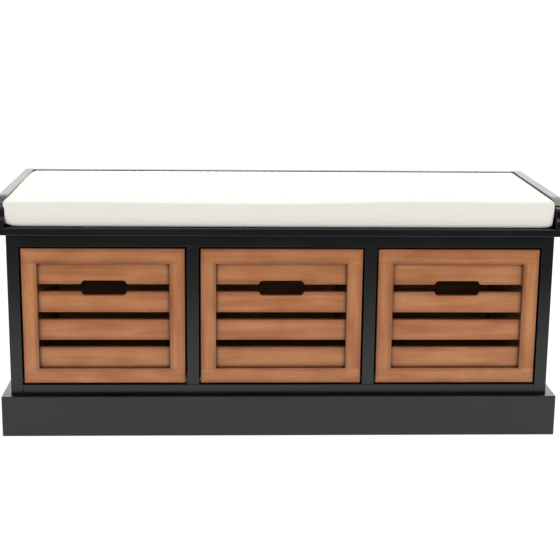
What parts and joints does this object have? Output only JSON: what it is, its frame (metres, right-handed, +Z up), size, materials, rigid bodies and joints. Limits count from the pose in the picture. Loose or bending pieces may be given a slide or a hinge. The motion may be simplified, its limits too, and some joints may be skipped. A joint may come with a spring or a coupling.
{
  "type": "storage bench",
  "caption": "Low painted storage bench with slatted wooden pull-out drawers, low arm and back rails, a plinth and a loose seat cushion.",
  "frame": {"origin": "on the floor, in the middle of the bench's width and depth", "axes": "+X to the right along the bench's length, +Y to the back, +Z up; the drawers face -Y"},
  "size_m": [1.04, 0.4, 0.445],
  "materials": {
    "black_paint": "satin",
    "stained_wood": "satin",
    "stained_pine": "matte",
    "plain_pine": "matte",
    "plywood": "matte",
    "hardboard": "matte",
    "nylon": "satin",
    "steel": "satin",
    "cushion_cloth": "matte",
    "foam": "matte"
  },
  "bodies": {
    "carcass": {"side_panel_left": "black_paint", "side_panel_right": "black_paint", "divider_left": "black_paint", "divider_right": "black_paint", "floor_panel": "black_paint", "top_rail": "black_paint", "back_panel": "hardboard", "back_panel_screws": "steel", "seat_board": "black_paint", "arm_rail_left": "black_paint", "arm_rail_right": "black_paint", "back_rail": "black_paint", "plinth_front": "black_paint", "plinth_left": "black_paint", "plinth_right": "black_paint", "plinth_back": "black_paint", "corner_glides": "nylon", "glide_screws": "steel", "drawer_stops": "plain_pine"},
    "drawer_left": {"drawer_left_frame_top": "stained_wood", "drawer_left_frame_bottom": "stained_wood", "drawer_left_stile_left": "stained_wood", "drawer_left_stile_right": "stained_wood", "drawer_left_slat_1": "stained_wood", "drawer_left_slat_2": "stained_wood", "drawer_left_slat_3": "stained_wood", "drawer_left_slat_4": "stained_wood", "drawer_left_side_left": "stained_pine", "drawer_left_side_right": "stained_pine", "drawer_left_back": "stained_pine", "drawer_left_base": "plywood", "drawer_left_rear_glides": "nylon"},
    "drawer_middle": {"drawer_middle_frame_top": "stained_wood", "drawer_middle_frame_bottom": "stained_wood", "drawer_middle_stile_left": "stained_wood", "drawer_middle_stile_right": "stained_wood", "drawer_middle_slat_1": "stained_wood", "drawer_middle_slat_2": "stained_wood", "drawer_middle_slat_3": "stained_wood", "drawer_middle_slat_4": "stained_wood", "drawer_middle_side_left": "stained_pine", "drawer_middle_side_right": "stained_pine", "drawer_middle_back": "stained_pine", "drawer_middle_base": "plywood", "drawer_middle_rear_glides": "nylon"},
    "drawer_right": {"drawer_right_frame_top": "stained_wood", "drawer_right_frame_bottom": "stained_wood", "drawer_right_stile_left": "stained_wood", "drawer_right_stile_right": "stained_wood", "drawer_right_slat_1": "stained_wood", "drawer_right_slat_2": "stained_wood", "drawer_right_slat_3": "stained_wood", "drawer_right_slat_4": "stained_wood", "drawer_right_side_left": "stained_pine", "drawer_right_side_right": "stained_pine", "drawer_right_back": "stained_pine", "drawer_right_base": "plywood", "drawer_right_rear_glides": "nylon"},
    "cushion": {"cushion_cover": "cushion_cloth", "cushion_foam": "foam"}
  },
  "joints": [
    {"name": "drawer_left_slide", "type": "slide", "parent": "carcass", "child": "drawer_left", "axis": [0, -1, 0], "range_m": [0, 0.28]},
    {"name": "drawer_middle_slide", "type": "slide", "parent": "carcass", "child": "drawer_middle", "axis": [0, -1, 0], "range_m": [0, 0.28]},
    {"name": "drawer_right_slide", "type": "slide", "parent": "carcass", "child": "drawer_right", "axis": [0, -1, 0], "range_m": [0, 0.28]},
    {"name": "cushion_lift", "type": "slide", "parent": "carcass", "child": "cushion", "axis": [0, 0, 1], "range_m": [0, 0.15]}
  ]
}
